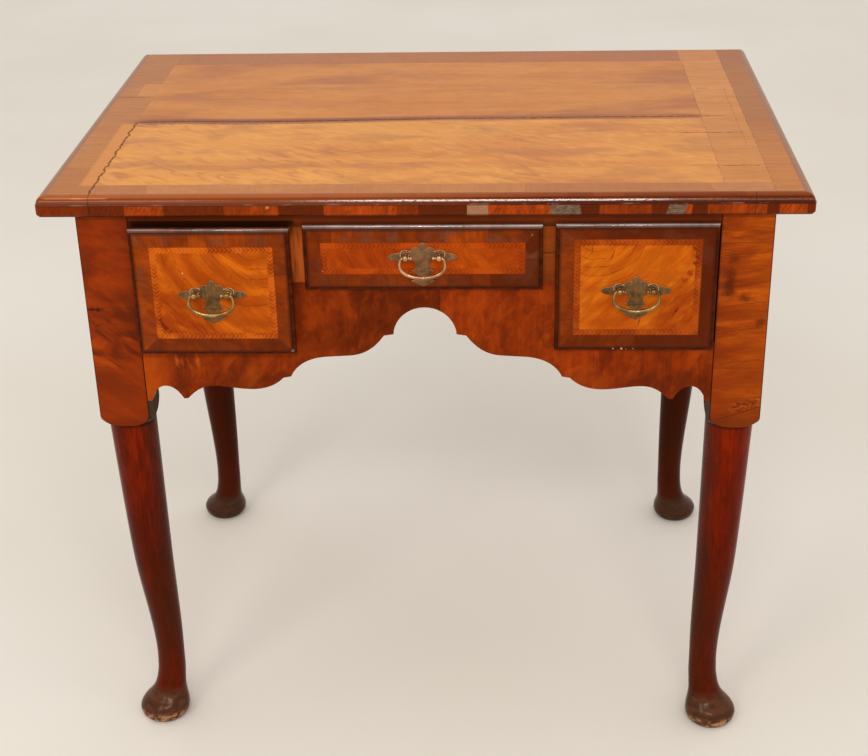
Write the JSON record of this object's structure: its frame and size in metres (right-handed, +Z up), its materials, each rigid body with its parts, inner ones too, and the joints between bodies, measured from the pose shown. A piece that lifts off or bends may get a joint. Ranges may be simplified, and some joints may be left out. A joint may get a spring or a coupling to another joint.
{
  "type": "lowboy",
  "caption": "Walnut-veneered lowboy: a shallow lipped drawer between deeper ones over a scalloped kneehole apron, shaped brass bail handles, on club legs with pad feet.",
  "frame": {"origin": "on the floor, centred left to right, and halfway between the top's back edge and the foremost handle", "axes": "+X to the right along the front, +Y from the front to the back, +Z up"},
  "size_m": [0.826, 0.5852, 0.711],
  "materials": {
    "figured_walnut": "figured walnut veneer with feather and cross bands, old waxed polish",
    "banded_walnut": "cross-grained walnut banding, old waxed polish",
    "carcass_walnut": "walnut veneer on the case, old waxed polish",
    "turned_walnut": "dark red-brown turned walnut, waxed and worn at the feet",
    "oak": "dry unpolished oak",
    "pine": "dry unpolished pine, darkened",
    "aged_brass": "toned, tarnished brass sheet",
    "bright_brass": "cast brass, worn bright by hands"
  },
  "bodies": {
    "carcass": {"top_front_board": "figured_walnut", "top_back_board": "figured_walnut", "top_left_cleat": "banded_walnut", "top_right_cleat": "banded_walnut", "top_front_moulding": "banded_walnut", "top_left_moulding": "banded_walnut", "top_right_moulding": "banded_walnut", "front_left_leg": "turned_walnut", "front_right_leg": "turned_walnut", "back_left_leg": "turned_walnut", "back_right_leg": "turned_walnut", "front_apron": "carcass_walnut", "front_top_rail": "carcass_walnut", "left_divider": "carcass_walnut", "right_divider": "carcass_walnut", "left_side_panel": "carcass_walnut", "right_side_panel": "carcass_walnut", "back_panel": "pine", "left_outer_runner": "oak", "right_outer_runner": "oak", "left_inner_runner": "oak", "right_inner_runner": "oak", "centre_left_runner": "oak", "centre_right_runner": "oak", "left_glue_block": "pine", "right_glue_block": "pine"},
    "left_drawer": {"left_drawer_front": "figured_walnut", "left_drawer_left_side": "oak", "left_drawer_right_side": "oak", "left_drawer_back": "oak", "left_drawer_bottom": "oak", "left_backplate": "aged_brass", "left_left_post": "bright_brass", "left_right_post": "bright_brass", "left_left_nut": "aged_brass", "left_right_nut": "aged_brass"},
    "left_bail": {"left_bail": "bright_brass"},
    "centre_drawer": {"centre_drawer_front": "figured_walnut", "centre_drawer_left_side": "oak", "centre_drawer_right_side": "oak", "centre_drawer_back": "oak", "centre_drawer_bottom": "oak", "centre_backplate": "aged_brass", "centre_left_post": "bright_brass", "centre_right_post": "bright_brass", "centre_left_nut": "aged_brass", "centre_right_nut": "aged_brass"},
    "centre_bail": {"centre_bail": "bright_brass"},
    "right_drawer": {"right_drawer_front": "figured_walnut", "right_drawer_left_side": "oak", "right_drawer_right_side": "oak", "right_drawer_back": "oak", "right_drawer_bottom": "oak", "right_backplate": "aged_brass", "right_left_post": "bright_brass", "right_right_post": "bright_brass", "right_left_nut": "aged_brass", "right_right_nut": "aged_brass"},
    "right_bail": {"right_bail": "bright_brass"}
  },
  "joints": [
    {"name": "left_drawer_slide", "type": "slide", "parent": "carcass", "child": "left_drawer", "axis": [0, -1, 0], "range_m": [-0.009, 0.351]},
    {"name": "centre_drawer_slide", "type": "slide", "parent": "carcass", "child": "centre_drawer", "axis": [0, -1, 0], "range_m": [0, 0.36]},
    {"name": "right_drawer_slide", "type": "slide", "parent": "carcass", "child": "right_drawer", "axis": [0, -1, 0], "range_m": [0, 0.36]},
    {"name": "left_bail_hinge", "type": "hinge", "parent": "left_drawer", "child": "left_bail", "pos_m": [-0.229, -0.289, 0.60425], "axis": [-1, 0, 0], "range_deg": [-19, 195]},
    {"name": "centre_bail_hinge", "type": "hinge", "parent": "centre_drawer", "child": "centre_bail", "pos_m": [0, -0.28, 0.64375], "axis": [-1, 0, 0], "range_deg": [-19, 195]},
    {"name": "right_bail_hinge", "type": "hinge", "parent": "right_drawer", "child": "right_bail", "pos_m": [0.229, -0.28, 0.60425], "axis": [-1, 0, 0], "range_deg": [-19, 195]}
  ]
}
